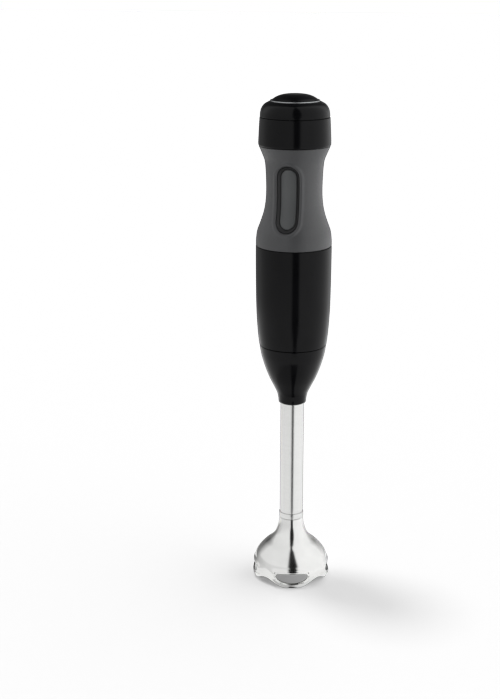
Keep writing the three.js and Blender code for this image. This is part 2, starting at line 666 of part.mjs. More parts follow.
function addDrive() {
  const shaftOutline = [
    [0, shaftTip.bottom], [shaftTip.radius, shaftTip.bottom], [shaftTip.radius, shaftTip.shoulder],
    [shaftRadius, shaftTip.shoulder], [shaftRadius, shaftTop], [0, shaftTop],
  ];
  const tipBore = shaftTip.radius + gap;
  const bladeTop = blade.z + blade.thickness / 2;
  const bladeBottom = blade.z - blade.thickness / 2;
  add('drive_shaft', revolve(shaftOutline, 16), looks.steel);
  add('blade_hub', ring(tipBore, 5, bladeTop + gap, shaftTip.shoulder - gap, 20), looks.nylon);
  add('blade', cut(bladeBody(), rod(tipBore, bladeBottom - 4, bladeTop + 4, 16)), looks.steel);
  const nut = rod(3.9, shaftTip.bottom + 0.2, bladeBottom - gap, 6);
  add('blade_nut', cut(nut, rod(tipBore, shaftTip.bottom - 1, bladeBottom, 12)), looks.steel);
  const { bottom, top, radius, tangTop } = tangHub;
  const hubOutline = [
    [shaftBore, bottom], [radius, bottom], [radius, top], [0, top], [0, shaftTop + gap],
    [shaftBore, shaftTop + gap],
  ];
  const tang = block(-7, 7, -1.5, 1.5, top - 0.5, tangTop);
  add('shaft_coupler', join(revolve(hubOutline, 20), tang), looks.nylon);
}

addHead();
addGrip();
addButton();
addElectrics();
addHousing();
addBrackets();
addField();
addArmature();
addFan();
addBrushes();
addCoupler();
addBayonet();
addCollar();
addTube();
addBell();
addDrive();

export default blender;
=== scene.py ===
"""Immersion blender: the visible shapes, materials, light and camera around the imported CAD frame.

The front (the button side) faces -Y and +Z is up. Outlines are in millimetres, Blender is in metres.
"""

import json
import math

import bmesh
import bpy
import numpy as np
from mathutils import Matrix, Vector


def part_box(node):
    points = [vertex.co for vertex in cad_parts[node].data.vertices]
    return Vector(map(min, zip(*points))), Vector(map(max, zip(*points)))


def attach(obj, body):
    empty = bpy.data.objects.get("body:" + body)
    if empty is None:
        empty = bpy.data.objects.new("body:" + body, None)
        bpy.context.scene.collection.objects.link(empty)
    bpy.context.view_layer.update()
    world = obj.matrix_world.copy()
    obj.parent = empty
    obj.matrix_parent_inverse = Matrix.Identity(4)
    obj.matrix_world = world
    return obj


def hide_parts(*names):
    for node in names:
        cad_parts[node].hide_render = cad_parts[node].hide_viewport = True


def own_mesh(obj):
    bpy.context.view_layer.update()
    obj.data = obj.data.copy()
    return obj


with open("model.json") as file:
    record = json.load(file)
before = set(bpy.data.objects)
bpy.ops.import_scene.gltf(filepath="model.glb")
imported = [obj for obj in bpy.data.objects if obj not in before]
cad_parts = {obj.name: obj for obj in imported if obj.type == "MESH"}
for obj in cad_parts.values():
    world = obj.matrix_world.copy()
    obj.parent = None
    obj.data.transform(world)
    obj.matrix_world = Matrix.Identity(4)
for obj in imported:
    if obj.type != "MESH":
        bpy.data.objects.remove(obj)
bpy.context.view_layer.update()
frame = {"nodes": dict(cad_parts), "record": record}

MM = 0.001
GAP = 0.3  # air between neighbouring pieces, mm

# ---------------------------------------------------------------- sizes taken from the frame


def span(node):
    """Lowest z, highest z and largest x of a node, in mm."""
    low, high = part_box(node)
    return low[2] / MM, high[2] / MM, high[0] / MM


CAP = span("top_cap")
DISC = span("cap_disc")
RING = span("trim_ring")
GRIP = span("grip_sleeve")
HOUSING = span("motor_housing")
COLLAR = span("arm_collar")
TUBE = span("arm_tube")
JOINT = span("joint_sleeve")
BELL = span("bell_guard")
BUTTON = span("power_button")
BEZEL = span("button_bezel")

LIP_DOWN, LIP_ACROSS = 0.6, 0.9  # how far the skin's soft lip reaches into the recess, mm
RECESS_CENTRE = (BEZEL[0] + BEZEL[1]) / 2
RECESS_HEIGHT = BEZEL[1] - BEZEL[0] + 2 * GAP - 2 * LIP_DOWN
RECESS_WIDTH = 2 * (BEZEL[2] + GAP) - 2 * LIP_ACROSS
LOBE_TURN = math.radians(16)

# ---------------------------------------------------------------- outlines, as (radius, height) in mm

CAP_CURVE = [(27.05, 387.7), (27, 389.9), (26.25, 393.6), (23.9, 397.1), (19.4, 399.6)]
BAND_CURVE = [(27.9, 365.7), (28.3, 367.9), (27.9, 377.3), (27.35, 387.3)]
GRIP_CURVE = [
    (30, 286.4), (29.8, 292.2), (28.9, 298.3), (26.6, 304.7), (24, 312.7), (22.5, 320.8),
    (21.95, 330.6), (22.3, 344.3), (23.2, 353.5), (25, 358.6), (27.85, 365.2),
]
HOUSING_CURVE = [(27.1, 204.7), (28.4, 216), (29.5, 234), (29.9, 255), (30.05, 275), (30.05, 286)]
COLLAR_CURVE = [
    (9.75, 154.3), (11, 155.4), (11.35, 158.5), (12.4, 163.2), (14.9, 168.6), (18.3, 175.3), (21.2, 182.2),
    (23.55, 189.1), (25.5, 196.1), (26.9, 204.2),
]
BELL_CURVE = [
    (30.5, 0), (30.6, 6), (30.4, 13.5), (29.3, 19), (26.6, 23.6), (22, 28.7), (16.7, 33.2),
    (13, 38), (10.5, 45.4), (9.6, 52.3),
]


def smooth(points, per_span=8):
    """A smooth curve through the points, as a list of (radius, height)."""
    ends = [points[0], *points, points[-1]]
    result = []
    for i in range(1, len(ends) - 2):
        p0, p1, p2, p3 = (np.array(ends[i + k], float) for k in (-1, 0, 1, 2))
        v0 = (p2 - p0) / 2
        v1 = (p3 - p1) / 2
        for step in range(per_span):
            t = step / per_span
            cubic = (2 * p1 - 2 * p2 + v0 + v1) * t**3
            square = (-3 * p1 + 3 * p2 - 2 * v0 - v1) * t**2
            result.append(tuple(cubic + square + v0 * t + p1))
    result.append(tuple(map(float, points[-1])))
    return result


def inset(points, depth):
    """The points moved towards the axis by a depth in mm."""
    return [(r - depth, z) for r, z in points]


def soften(loop, corners):
    """Rounds the corners of a closed outline. corners is {index: radius in mm}; index 0 is never one."""
    points = [np.array(p, float) for p in loop]
    count = len(points)
    lengths = [np.linalg.norm(points[(i + 1) % count] - points[i]) for i in range(count)]
    starts = np.concatenate([[0], np.cumsum(lengths)])
    total = starts[-1]

    def at(distance):
        distance %= total
        i = min(int(np.searchsorted(starts, distance, side="right")) - 1, count - 1)
        share = (distance - starts[i]) / max(lengths[i], 1e-9)
        return points[i] + (points[(i + 1) % count] - points[i]) * share

    kept = []
    for i in range(count):
        if all(abs(starts[i] - starts[k]) >= radius for k, radius in corners.items()):
            kept.append((starts[i], points[i]))
    for k, radius in corners.items():
        before, corner, after = at(starts[k] - radius), points[k], at(starts[k] + radius)
        for step in range(7):
            u = step / 6
            place = (1 - u) ** 2 * before + 2 * u * (1 - u) * corner + u**2 * after
            kept.append((starts[k] - radius + 2 * radius * u, place))
    kept.sort(key=lambda pair: pair[0])
    return [tuple(p) for _, p in kept]


# ---------------------------------------------------------------- meshes


def build(name, vertices, faces, sharp=35):
    """A closed mesh piece from points in mm, with merged points and outward faces."""
    mesh = bpy.data.meshes.new(name)
    mesh.from_pydata([tuple(float(c) * MM for c in v) for v in vertices], [], faces)
    work = bmesh.new()
    work.from_mesh(mesh)
    bmesh.ops.remove_doubles(work, verts=work.verts, dist=2e-6)
    bmesh.ops.dissolve_degenerate(work, edges=work.edges, dist=1e-7)
    bmesh.ops.recalc_face_normals(work, faces=work.faces)
    work.to_mesh(mesh)
    work.free()
    piece = bpy.data.objects.new(name, mesh)
    bpy.context.collection.objects.link(piece)
    shade(piece, sharp)
    return piece


def shade(piece, sharp=35):
    """Smooth shading, with edges over the given angle in degrees left sharp."""
    piece.data.shade_smooth()
    piece.data.set_sharp_from_angle(angle=math.radians(sharp))


def grid_faces(rows, columns, close_rows):
    """Quads between rows of points. Columns always close; rows close on request."""
    faces = []
    for j in range(rows if close_rows else rows - 1):
        for i in range(columns):
            a, b = j * columns + i, j * columns + (i + 1) % columns
            c, d = ((j + 1) % rows) * columns + (i + 1) % columns, ((j + 1) % rows) * columns + i
            faces.append((a, b, c, d))
    return faces


def revolve(name, loop, segments=128, closed=True, warp=None, angles=None, sharp=35):
    """Turns an outline about the Z axis. warp(x, y, z) moves the points, in mm."""
    if angles is None:
        angles = np.linspace(0, 2 * math.pi, segments, endpoint=False)
    profile = np.array(loop, float)
    x = profile[:, :1] * np.cos(angles)
    y = profile[:, :1] * np.sin(angles)
    z = np.repeat(profile[:, 1:], len(angles), axis=1)
    if warp:
        x, y, z = warp(x, y, z)
    vertices = np.stack([x, y, z], axis=-1).reshape(-1, 3)
    return build(name, vertices, grid_faces(len(profile), len(angles), closed), sharp)


def stack(name, loops, sharp=35):
    """Joins closed loops of points in order, first and last loop included, into a closed skin."""
    vertices = np.concatenate(loops)
    columns = len(loops[0])
    faces = grid_faces(len(loops), columns, False)
    return build(name, vertices, faces, sharp)


def carve(piece, *cutters, sharp=35):
    """Cuts the cutters out of a piece and removes them."""
    for cutter in cutters:
        step = piece.modifiers.new("carve", "BOOLEAN")
        step.object = cutter
        step.solver = "EXACT"
    graph = bpy.context.evaluated_depsgraph_get()
    result = bpy.data.meshes.new_from_object(piece.evaluated_get(graph))
    piece.modifiers.clear()
    piece.data = result
    for cutter in cutters:
        bpy.data.objects.remove(cutter)
    shade(piece, sharp)
    return piece


def prism(name, outline, near, far):
    """A flat outline in XZ (mm), run along Y from near to far."""
    count = len(outline)
    vertices = [(x, near, z) for x, z in outline] + [(x, far, z) for x, z in outline]
    faces = [tuple(range(count)), tuple(range(2 * count - 1, count - 1, -1))]
    faces += [(i, i + count, (i + 1) % count + count, (i + 1) % count) for i in range(count)]
    return build(name, vertices, faces)


def turned(piece, angle):
    """Turns a piece's mesh about the Z axis."""
    c, s = math.cos(angle), math.sin(angle)
    for vertex in piece.data.vertices:
        x, y = vertex.co.x, vertex.co.y
        vertex.co.x, vertex.co.y = c * x - s * y, s * x + c * y
    return piece


def obround(width, height, centre, steps=24):
    """A tall slot outline with round ends, as (x, z)."""
    radius = width / 2
    straight = height / 2 - radius
    points = []
    for end, start in ((1, 0), (-1, math.pi)):
        for i in range(steps + 1):
            angle = start + math.pi * i / steps
            points.append((radius * math.cos(angle), centre + end * straight + radius * math.sin(angle)))
    return points


def smoothstep(value, low, high):
    """0 up to low, 1 from high on, and a smooth rise between them."""
    t = np.clip((value - low) / (high - low), 0, 1)
    return t * t * (3 - 2 * t)


def bump(value, middle, width):
    """A smooth hill of height 1."""
    return np.exp(-(((value - middle) / width) ** 2))


def distance_to_slot(x, z, width, height, centre):
    """Signed distance from a tall slot's edge: positive outside."""
    straight = (height - width) / 2
    nearest = np.clip(z - centre, -straight, straight)
    return np.hypot(x, z - centre - nearest) - width / 2


def distance_to_polygon(x, z, outline):
    """Distance from points to the edge of a closed outline."""
    best = np.full(np.shape(x), 1e9)
    for (x0, z0), (x1, z1) in zip(outline, outline[1:] + outline[:1]):
        dx, dz = x1 - x0, z1 - z0
        t = np.clip(((x - x0) * dx + (z - z0) * dz) / (dx * dx + dz * dz), 0, 1)
        best = np.minimum(best, np.hypot(x - x0 - t * dx, z - z0 - t * dz))
    return best


# ---------------------------------------------------------------- materials


class Look:
    """A principled material with its own noise, roughness and bump nodes."""

    def __init__(self, name, colour, roughness, metallic=0.0, sockets=None):
        self.material = bpy.data.materials.new(name)
        self.material.use_nodes = True
        self.material.diffuse_color = (*colour, 1)
        self.nodes = self.material.node_tree.nodes
        self.links = self.material.node_tree.links
        self.shader = self.nodes["Principled BSDF"]
        self.shader.inputs["Base Color"].default_value = (*colour, 1)
        self.shader.inputs["Roughness"].default_value = roughness
        self.shader.inputs["Metallic"].default_value = metallic
        for socket, value in (sockets or {}).items():
            self.shader.inputs[socket].default_value = value
        self.colour = colour
        self.roughness = roughness
        self.place = self.nodes.new("ShaderNodeTexCoord").outputs["Object"]
        self.height = None

    def noise(self, scale, detail=3, kind="ShaderNodeTexNoise"):
        """A noise pattern. scale is per metre along X, Y and Z."""
        mapping = self.nodes.new("ShaderNodeMapping")
        mapping.inputs["Scale"].default_value = scale
        self.links.new(self.place, mapping.inputs["Vector"])
        texture = self.nodes.new(kind)
        texture.inputs["Scale"].default_value = 1
        if "Detail" in texture.inputs:
            texture.inputs["Detail"].default_value = detail
        self.links.new(mapping.outputs["Vector"], texture.inputs["Vector"])
        return texture.outputs[0]

    def ranged(self, value, low, high, start=0.3, end=0.7):
        """Maps a pattern's values from start..end to low..high."""
        node = self.nodes.new("ShaderNodeMapRange")
        node.inputs["From Min"].default_value = start
        node.inputs["From Max"].default_value = end
        node.inputs["To Min"].default_value = low
        node.inputs["To Max"].default_value = high
        self.links.new(value, node.inputs["Value"])
        return node.outputs["Result"]

    def tint(self, pattern, other, low=0.3, high=0.7):
        """Blends the base colour with another colour by a pattern."""
        mix = self.nodes.new("ShaderNodeMix")
        mix.data_type = "RGBA"
        mix.inputs["A"].default_value = (*self.colour, 1)
        mix.inputs["B"].default_value = (*other, 1)
        self.links.new(self.ranged(pattern, 0, 1, low, high), mix.inputs["Factor"])
        self.links.new(mix.outputs["Result"], self.shader.inputs["Base Color"])
        return self

    def polish(self, pattern, spread):
        """Roughness varies by the pattern, spread to each side of its own value."""
        varied = self.ranged(pattern, self.roughness - spread, self.roughness + spread)
        self.links.new(varied, self.shader.inputs["Roughness"])
        return self

    def relief(self, pattern, strength, depth):
        """Adds a bump of the given depth in mm."""
        node = self.nodes.new("ShaderNodeBump")
        node.inputs["Strength"].default_value = strength
        node.inputs["Distance"].default_value = depth * MM
        self.links.new(pattern, node.inputs["Height"])
        if self.height:
            self.links.new(self.height, node.inputs["Normal"])
        self.height = node.outputs["Normal"]
        self.links.new(self.height, self.shader.inputs["Normal"])
        return self


def darker(colour, share):
    return tuple(c * share for c in colour)


def gloss_black(name="gloss_black_plastic"):
    look = Look(name, (0.003, 0.003, 0.0035), 0.13, sockets={"Specular IOR Level": 0.13})
    look.tint(look.noise((90, 90, 60)), (0.0045, 0.0045, 0.0052))
    look.polish(look.noise((240, 240, 160), 4), 0.03)
    look.relief(look.noise((420, 420, 420), 2), 0.05, 0.03)
    return look.material


def soft_grip(name, colour):
    sheen = {"Sheen Weight": 0.1, "Sheen Roughness": 0.5, "Specular IOR Level": 0.75}
    look = Look(name, colour, 0.5, sockets=sheen)
    look.tint(look.noise((130, 130, 90), 4), darker(colour, 0.86))
    look.polish(look.noise((600, 600, 600), 3), 0.06)
    look.relief(look.noise((3600, 3600, 3600), 2), 0.22, 0.06)
    return look.material


def tube_steel():
    colour = (0.74, 0.74, 0.73)
    look = Look("brushed_steel_arm", colour, 0.2, 1.0, {"Anisotropic": 0.45})
    rings = look.noise((26, 26, 9000), 4)
    look.tint(rings, darker(colour, 0.9))
    look.polish(rings, 0.05)
    look.relief(rings, 0.06, 0.02)
    return look.material


def bell_steel():
    colour = (0.78, 0.78, 0.77)
    look = Look("polished_bell_steel", colour, 0.12, 1.0, {"Anisotropic": 0.25})
    rings = look.noise((22, 22, 5200), 3)
    look.tint(look.noise((70, 70, 70), 3), darker(colour, 0.94))
    look.polish(rings, 0.03)
    look.relief(rings, 0.03, 0.015)
    return look.material


def metal(name, colour, roughness, scale=(900, 900, 900), spread=0.06, depth=0.02):
    look = Look(name, colour, roughness, 1.0)
    grain = look.noise(scale, 4)
    look.tint(grain, darker(colour, 0.82))
    look.polish(grain, spread)
    look.relief(grain, 0.12, depth)
    return look.material


def moulded(name, colour, roughness, scale=1400, depth=0.03):
    look = Look(name, colour, roughness)
    look.tint(look.noise((160, 160, 160), 3), darker(colour, 0.84))
    look.polish(look.noise((scale, scale, scale), 3), 0.06)
    look.relief(look.noise((scale, scale, scale), 2), 0.18, depth)
    return look.material


WAVE_SCALE = 0.314  # the wave texture's scale that gives one band per metre


def layered(name, colour, roughness, layer):
    """Metal made of thin layers or turns that lie across the Z axis; layer is their pitch in mm."""
    look = Look(name, colour, roughness, 1.0)
    wave = look.nodes.new("ShaderNodeTexWave")
    wave.bands_direction = "Z"
    wave.inputs["Scale"].default_value = WAVE_SCALE / (layer * MM)
    wave.inputs["Distortion"].default_value = 0.4
    look.links.new(look.place, wave.inputs["Vector"])
    lines = wave.outputs["Fac"]
    look.tint(lines, darker(colour, 0.6), 0.1, 0.5)
    look.polish(look.noise((700, 700, 700), 3), 0.05)
    look.relief(lines, 0.5, layer * 0.3)
    return look.material


BLACK = gloss_black()
SOFT = soft_grip("soft_grey_grip", (0.032, 0.033, 0.036))
SOFT_PAD = soft_grip("soft_button_pad", (0.058, 0.062, 0.064))
TUBE_STEEL = tube_steel()
BELL_STEEL = bell_steel()
# The recess wall's near-black colour is painted shade: it stands in for the shade that falls inside the
# button recess.
RECESS_WALL_SHADE = moulded("recess_wall_painted_shade", (0.017, 0.017, 0.018), 0.55, 1100)
SATIN_CHROME = metal("chromed_trim", (0.42, 0.43, 0.44), 0.36, (400, 400, 3000), 0.04, 0.01)
BLADE_STEEL = metal("polished_blade_steel", (0.66, 0.66, 0.66), 0.24, (2600, 160, 160), 0.05, 0.02)

CARRIED = {
    "matte_black_plastic": moulded("matte_black_plastic", (0.022, 0.022, 0.024), 0.55),
    "machine_steel": metal("machine_steel", (0.5, 0.5, 0.51), 0.32),
    "polished_blade_steel": BLADE_STEEL,
    "brushed_steel_arm": TUBE_STEEL,
    "laminated_iron": layered("laminated_iron", (0.3, 0.3, 0.31), 0.42, 0.5),
    "enamelled_copper": layered("enamelled_copper", (0.5, 0.2, 0.08), 0.35, 0.7),
    "commutator_copper": metal("commutator_copper", (0.7, 0.36, 0.2), 0.3, (300, 300, 3000)),
    "carbon": moulded("carbon", (0.025, 0.025, 0.028), 0.75, 2200),
    "natural_nylon": moulded("natural_nylon", (0.72, 0.7, 0.63), 0.45),
    "bearing_bronze": metal("bearing_bronze", (0.58, 0.4, 0.17), 0.4),
    "black_rubber": moulded("black_rubber", (0.015, 0.015, 0.016), 0.7, 1800, 0.05),
    "circuit_board_green": moulded("circuit_board_green", (0.02, 0.13, 0.06), 0.4, 3000, 0.02),
    "capacitor_yellow": moulded("capacitor_yellow", (0.62, 0.4, 0.03), 0.3, 900, 0.02),
    "gloss_black_plastic": BLACK,
    "soft_grey_grip": SOFT,
    "chromed_trim": SATIN_CHROME,
}


def paint_frame():
    """Gives each CAD node the material of its slot in the record."""
    for part in frame["record"]["subparts"]:
        node = frame["nodes"][part["node"]]
        node.data.materials.clear()
        node.data.materials.append(CARRIED[part["material_slot"]])


def place(piece, body, nodes, slot, material):
    """Makes a new piece stand for CAD nodes: it rides on their body and takes the given material; slot is not
    used.
    """
    piece.data.materials.clear()
    piece.data.materials.append(material)
    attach(piece, body)
    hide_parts(*nodes)
    return piece


# ---------------------------------------------------------------- head


def make_cap():
    """The gloss cap, open in the middle for the disc and hollow below."""
    mouth, roof, step = 16.4, 395.2, 390.8
    outer = smooth(CAP_CURVE, 7)
    outer[0] = (outer[0][0], CAP[0])
    seat = RING[0] - GAP
    lip = outer[-1][0]
    inner = [
        (lip, seat), (mouth, seat), (mouth, roof), (20, roof), (23, roof - 2), (24.9, step), (25.3, CAP[0]),
    ]
    loop = [(26.2, CAP[0]), *outer, *inner]
    corners = {1: 0.5, len(outer): 0.45, len(loop) - 1: 0.4}
    cap = revolve("cap_shell", soften(loop, corners), 144)
    place(cap, "motor_body", ["top_cap"], "gloss_black_plastic", BLACK)


def make_disc():
    """The dark disc in the cap: a low dome that is flat in the middle."""
    low, high, radius = DISC
    edge = RING[1] + 0.9
    flatness, steps = 3.2, 24
    dome = []
    for step in range(steps + 1):
        u = 1 - step / steps
        dome.append((radius * u, edge + (high - edge) * (1 - u**flatness)))
    loop = [(0, low), (radius, low), *soften_open(dome, 0.35)]
    disc = revolve("cap_dome", loop, 144, closed=False)
    place(disc, "motor_body", ["cap_disc"], "gloss_black_plastic", BLACK)


def soften_open(points, radius):
    """Rounds the first point of an open outline into a short vertical start."""
    (r0, z0), rest = points[0], points[2:]
    arc = []
    for step in range(6):
        angle = math.radians(15 * step)
        arc.append((r0 - radius * (1 - math.cos(angle)), z0 - radius + radius * math.sin(angle)))
    return arc + rest


def make_ring():
    """The thin silver ring round the disc, a little wider at its top."""
    low, high, outer = RING
    inner = DISC[2] + GAP
    wide = outer + 0.15
    loop = [
        (inner, (low + high) / 2), (inner, low), (outer, low), (outer, high - 0.1), (wide, high + 0.2),
        (wide, high + 0.85), (inner, high + 0.95),
    ]
    ring = revolve("silver_ring", soften(loop, {1: 0.2, 2: 0.2, 4: 0.2, 5: 0.35, 6: 0.3}), 160)
    place(ring, "motor_body", ["trim_ring"], "chromed_trim", SATIN_CHROME)


def make_band():
    """The gloss band below the cap, with a spigot up into the cap and a hole for the cord gland."""
    top, bottom = CAP[0] - 0.4, GRIP[1] + 0.4
    drawn_low, drawn_high = BAND_CURVE[0][1], BAND_CURVE[-1][1]
    outer = []
    for r, z in smooth(BAND_CURVE, 9):
        outer.append((r, bottom + (z - drawn_low) * (top - bottom) / (drawn_high - drawn_low)))
    bore, spigot_top = 23.2, 390.8
    inner = [
        (24.6, top), (24.4, spigot_top), (bore, spigot_top), (bore, 383.9), (25.7, 381.9), (25.9, bottom),
    ]
    loop = [(27, bottom), *outer, *inner]
    band = revolve("head_band", soften(loop, {1: 0.6, len(outer): 0.5, len(loop) - 1: 0.4}), 160)
    gland_low, gland_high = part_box("cord_gland")
    gland_z = (gland_low[2] + gland_high[2]) / 2 / MM
    hole_radius, hole_start, hole_end = 4.4, 20, 36
    outline = [(0, hole_start), (hole_radius, hole_start), (hole_radius, hole_end), (0, hole_end)]
    hole = revolve("gland_hole", outline, 48, closed=False)
    lay_along_y(hole, gland_z)
    carve(band, hole)
    place(band, "motor_body", ["cap_band"], "gloss_black_plastic", BLACK)


def lay_along_y(piece, height):
    """Turns a piece made about the Z axis so that its axis runs along Y at a height in mm."""
    for vertex in piece.data.vertices:
        x, y, z = vertex.co
        vertex.co = (x, z, -y + height * MM)
    piece.data.update()


def make_gland():
    """A rubber bush in the rear of the band, with a flange on each side of the wall."""
    low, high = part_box("cord_gland")
    near, far = low[1] / MM, high[1] / MM
    centre = (low[2] + high[2]) / 2 / MM
    flange = (high[2] - low[2]) / 2 / MM
    bore, neck = 3.3, 4.1
    groove_start, groove_end = near + 1.6, far - 2.2
    loop = [
        (bore, (near + far) / 2), (bore, near), (flange, near), (flange, groove_start), (neck, groove_start),
        (neck, groove_end), (flange, groove_end), (flange - 0.6, far), (bore, far),
    ]
    corners = {1: 0.3, 2: 0.4, 3: 0.4, 5: 0.2, 6: 0.6, 7: 0.6, 8: 0.5}
    gland = revolve("gland_bush", soften(loop, corners), 72)
    lay_along_y(gland, centre)
    place(gland, "motor_body", ["cord_gland"], "black_rubber", CARRIED["black_rubber"])


# ---------------------------------------------------------------- grip and button

GRIP_LINE = smooth(GRIP_CURVE, 12)
GRIP_RADII = np.array([r for r, _ in GRIP_LINE])
GRIP_HEIGHTS = np.array([z for _, z in GRIP_LINE])


def grip_radius(z):
    """The grip's radius at a height, both in mm."""
    return np.interp(z, GRIP_HEIGHTS, GRIP_RADII)


def front_spread(dense_half, dense_step, coarse_step):
    """Angles round the axis, close together near the front (-Y) and wider behind."""
    dense = np.arange(-dense_half, dense_half + 0.01, dense_step)
    coarse_count = round((360 - 2 * dense_half) / coarse_step)
    coarse = np.linspace(dense_half, 360 - dense_half, coarse_count + 1)[1:-1]
    return np.radians(np.concatenate([dense, coarse]) - 90)


def make_grip():
    """The soft skin: its edge rolls into the recess behind a low raised lip."""
    bottom, top, _ = GRIP
    fine_low, fine_high = 294, 358  # the mesh is finer round the recess
    heights = np.concatenate([
        np.linspace(bottom, fine_low, 12)[:-1],
        np.linspace(fine_low, fine_high, 150)[:-1],
        np.linspace(fine_high, top, 14),
    ])
    outer = [(float(grip_radius(z)), float(z)) for z in heights]
    wall = 1.8
    roll, sink = 0.9, 0.8
    lip_height, lip_place, lip_width = 0.75, 1.6, 1.3
    inner = [(float(grip_radius(z)) - wall, float(z)) for z in np.linspace(top, bottom, 40)]
    loop = [(outer[0][0] - wall / 2, bottom), *outer, *inner]
    corners = {1: 0.7, len(outer): 0.5}
    outline = soften(loop, corners)

    def warp(x, y, z):
        radius = np.hypot(x, y)
        away = distance_to_slot(x, z, RECESS_WIDTH, RECESS_HEIGHT, RECESS_CENTRE)
        front = (y < 0) & (radius > grip_radius(z) - wall * 0.5)
        inside = np.clip(1 - away / roll, 0, 1)
        drop = sink * (1 - np.sqrt(1 - np.minimum(inside, 0.999) ** 2))
        lift = lip_height * bump(away, lip_place, lip_width) * smoothstep(away, 0, roll)
        change = np.where(front, lift - drop, 0)
        scale = 1 + change / radius
        return x * scale, y * scale, z

    grip = revolve("grip_skin", outline, warp=warp, angles=front_spread(42, 0.7, 3), sharp=50)
    hole = prism("slot_hole", obround(RECESS_WIDTH, RECESS_HEIGHT, RECESS_CENTRE), -40, -5)
    carve(grip, hole, sharp=50)
    place(grip, "motor_body", ["grip_sleeve"], "soft_grey_grip", SOFT)


def waist_loop(margin, depth):
    """A loop round the recess: margin mm inside its edge and depth mm below the waist."""
    half = RECESS_WIDTH / 2
    radius = max(half - margin, 1e-4)
    straight = RECESS_HEIGHT / 2 - half
    points = obround(2 * radius, 2 * (straight + radius), RECESS_CENTRE, 32)
    denser = []
    for i, (x, z) in enumerate(points):
        next_x, next_z = points[(i + 1) % len(points)]
        on_straight_side = abs(next_z - z) > 5
        parts = 36 if on_straight_side else 1
        denser += [(x + (next_x - x) * k / parts, z + (next_z - z) * k / parts) for k in range(parts)]
    x, z = np.array(denser).T
    y = -np.sqrt(np.maximum((grip_radius(z) - depth) ** 2 - x**2, 1))
    return np.stack([x, y, z], axis=-1)


def make_bezel():
    """The recess's sloping wall, from the skin's edge down to the button; its near-black colour is painted
    shade inside the recess.
    """
    foot = (RECESS_WIDTH - 2 * BUTTON[2]) / 2 - GAP
    back = 5.4
    corners = [
        (GAP, back), (GAP, 1.6), (GAP + 0.1, 1.2), (GAP + 0.3, 0.95), (GAP + 0.5, 1.2), (GAP + 0.9, 2),
        (foot - 0.5, 3.1), (foot - 0.2, 3.45), (foot - 0.05, 3.6), (foot, 3.9), (foot, back),
    ]
    loops = [waist_loop(margin, depth) for margin, depth in corners]
    faces = grid_faces(len(loops), len(loops[0]), True)
    bezel = build("recess_wall", np.concatenate(loops), faces, sharp=50)
    place(bezel, "motor_body", ["button_bezel"], "matte_black_plastic", RECESS_WALL_SHADE)


def make_button():
    """A tall pad at the foot of the recess, following the waist, with a rounded edge."""
    half = BUTTON[2]
    margin = RECESS_WIDTH / 2 - half
    face, back = 3.2, 6
    edge_width, edge_depth, crown_height = 0.9, 0.4, 0.15

    def depth(inwards):
        edge = edge_depth * (1 - math.sqrt(1 - max(0, 1 - inwards / edge_width) ** 2))
        crown = crown_height * (inwards / half) ** 2
        return face + edge - crown

    steps = [half, 5, 3.6, 2.4, 1.5, 1.1, 0.9, 0.7, 0.5, 0.35, 0.22, 0.12, 0.05, 0]
    loops = [waist_loop(margin + inwards, depth(inwards)) for inwards in steps]
    behind = [(0, back - 0.3), (0.3, back), (3, back), (half, back)]
    loops += [waist_loop(margin + inwards, deep) for inwards, deep in behind]
    pad = stack("button_pad", loops, sharp=60)
    place(pad, "button", ["power_button"], "soft_grey_grip", SOFT_PAD)


def make_springs():
    """Two wire coils behind the button."""
    wire, turns, around, per_turn = 0.35, 7, 10, 24
    closing = 0.12  # how strongly the turns close up at both ends
    for side in ("left", "right"):
        node = f"button_spring_{side}"
        low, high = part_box(node)
        near, far = low[1] / MM, high[1] / MM
        x, z = (low[0] + high[0]) / 2 / MM, (low[2] + high[2]) / 2 / MM
        coil = (high[0] - low[0]) / 2 / MM - wire
        ring = np.linspace(0, 2 * math.pi, around, endpoint=False)
        loops = []
        for share in np.linspace(0, 1, turns * per_turn + 1):
            angle = 2 * math.pi * turns * share
            out = coil + wire * np.cos(ring)
            along = near + wire + (far - near - 2 * wire) * smoothstep(share, -closing, 1 + closing)
            loops.append(np.stack([
                x + out * math.cos(angle), along + wire * np.sin(ring), z + out * math.sin(angle),
            ], axis=-1))
        ends = [np.repeat(loop.mean(axis=0)[None], around, axis=0) for loop in (loops[0], loops[-1])]
        spring = stack(f"coil_spring_{side}", [ends[0], *loops, ends[1]], sharp=60)
        place(spring, "motor_body", [node], "machine_steel", CARRIED["machine_steel"])
        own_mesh(spring)


# ---------------------------------------------------------------- motor housing, collar and tube


def make_housing():
    """The gloss shell round the motor, open at both ends."""
    bottom = HOUSING[0]
    outer = smooth(HOUSING_CURVE, 12)
    wall = 2.2
    inner = inset(outer[::-4], wall)
    inner[-1] = (inner[-1][0], bottom)
    loop = [(outer[0][0] - wall / 2, bottom), *outer, *inner]
    corners = {1: 0.5, len(outer): 0.5, len(outer) + 1: 0.3, len(loop) - 1: 0.3}
    housing = revolve("housing_shell", soften(loop, corners), 160)
    place(housing, "motor_body", ["motor_housing"], "gloss_black_plastic", BLACK)


def make_collar():
    """The gloss collar that carries the arm, narrowing from the housing to the tube."""
    bottom, top, _ = COLLAR
    bore = TUBE[2] + GAP
    seat, seat_floor, throat, sleeve_top = 22.6, 191.2, 12.6, 169.5
    outer = smooth(COLLAR_CURVE, 10)[1:]
    inner = [
        (seat + 0.4, top), (seat, seat_floor), (21.4, seat_floor), (19.2, 182.6), (16.3, 175.8),
        (throat, 171.1), (throat, sleeve_top), (bore, sleeve_top),
    ]
    loop = [(bore, (bottom + sleeve_top) / 2), (bore, bottom), *outer, *inner]
    corners = {len(outer) + 1: 0.5, len(outer) + 2: 0.4}
    collar = revolve("collar_shell", soften(loop, corners), 160)
    place(collar, "arm", ["arm_collar"], "gloss_black_plastic", BLACK)


